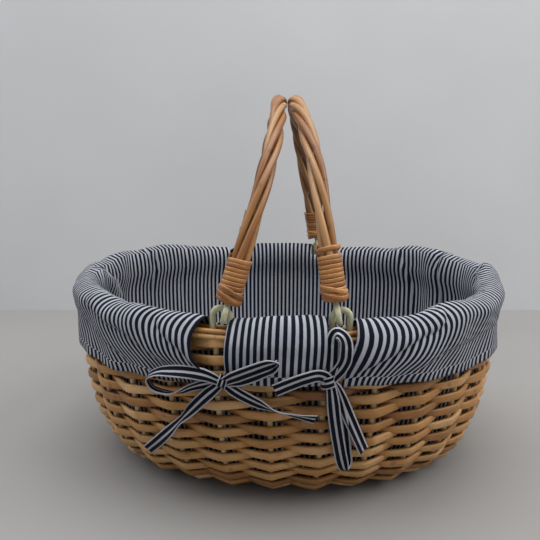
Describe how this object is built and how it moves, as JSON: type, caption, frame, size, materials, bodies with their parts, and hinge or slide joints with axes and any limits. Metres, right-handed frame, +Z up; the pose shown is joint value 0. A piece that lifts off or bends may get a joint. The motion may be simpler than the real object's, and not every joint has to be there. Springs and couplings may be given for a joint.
{
  "type": "woven basket",
  "caption": "Oval woven willow basket with a pair of swing handles and a striped cloth liner folded over its rim and tied with ribbon bows.",
  "frame": {"origin": "on the surface that the basket stands on, under the middle of its box", "axes": "+X along the long side, to the right seen from the front; +Y from front to back; +Z up"},
  "size_m": [0.4144, 0.3164, 0.3452],
  "materials": {
    "willow": "satin, woven",
    "stake_willow": "satin",
    "handle_willow": "semi-gloss",
    "binding_willow": "glossy",
    "ring_cord": "matt",
    "liner_cloth": "matt, striped cotton",
    "ribbon": "matt, striped cotton"
  },
  "bodies": {
    "root": {"base_weave": "willow", "wall_weave": "willow", "stake_01": "stake_willow", "stake_02": "stake_willow", "stake_03": "stake_willow", "stake_04": "stake_willow", "stake_05": "stake_willow", "stake_06": "stake_willow", "stake_07": "stake_willow", "stake_08": "stake_willow", "stake_09": "stake_willow", "stake_10": "stake_willow", "stake_11": "stake_willow", "stake_12": "stake_willow", "stake_13": "stake_willow", "stake_14": "stake_willow", "stake_15": "stake_willow", "stake_16": "stake_willow", "stake_17": "stake_willow", "stake_18": "stake_willow", "stake_19": "stake_willow", "stake_20": "stake_willow", "stake_21": "stake_willow", "stake_22": "stake_willow", "stake_23": "stake_willow", "stake_24": "stake_willow", "stake_25": "stake_willow", "stake_26": "stake_willow", "border_core": "willow", "border_rod_outer_top": "willow", "border_rod_outer_low": "willow", "border_rod_inner_top": "willow", "border_rod_inner_low": "willow", "ring_front_left": "ring_cord", "ring_front_right": "ring_cord", "ring_back_left": "ring_cord", "ring_back_right": "ring_cord", "liner": "liner_cloth", "bow_front_left": "ribbon", "bow_front_right": "ribbon", "bow_back_left": "ribbon", "bow_back_right": "ribbon"},
    "handle_left": {"handle_left_rod_1": "handle_willow", "handle_left_rod_2": "handle_willow", "handle_left_rod_3": "handle_willow", "handle_left_rod_4": "handle_willow", "handle_left_binding_front": "binding_willow", "handle_left_binding_back": "binding_willow", "handle_left_link_front": "ring_cord", "handle_left_link_back": "ring_cord"},
    "handle_right": {"handle_right_rod_1": "handle_willow", "handle_right_rod_2": "handle_willow", "handle_right_rod_3": "handle_willow", "handle_right_rod_4": "handle_willow", "handle_right_binding_front": "binding_willow", "handle_right_binding_back": "binding_willow", "handle_right_link_front": "ring_cord", "handle_right_link_back": "ring_cord"}
  },
  "joints": [
    {"name": "handle_left_swing", "type": "hinge", "parent": "root", "child": "handle_left", "pos_m": [-0.0499, -0.00129, 0.1735], "axis": [0.0471, -0.9989, 0], "range_deg": [0, 78]},
    {"name": "handle_right_swing", "type": "hinge", "parent": "root", "child": "handle_right", "pos_m": [0.0399, 0.00055, 0.1735], "axis": [-0.025, 0.9997, 0], "range_deg": [0, 78]}
  ]
}
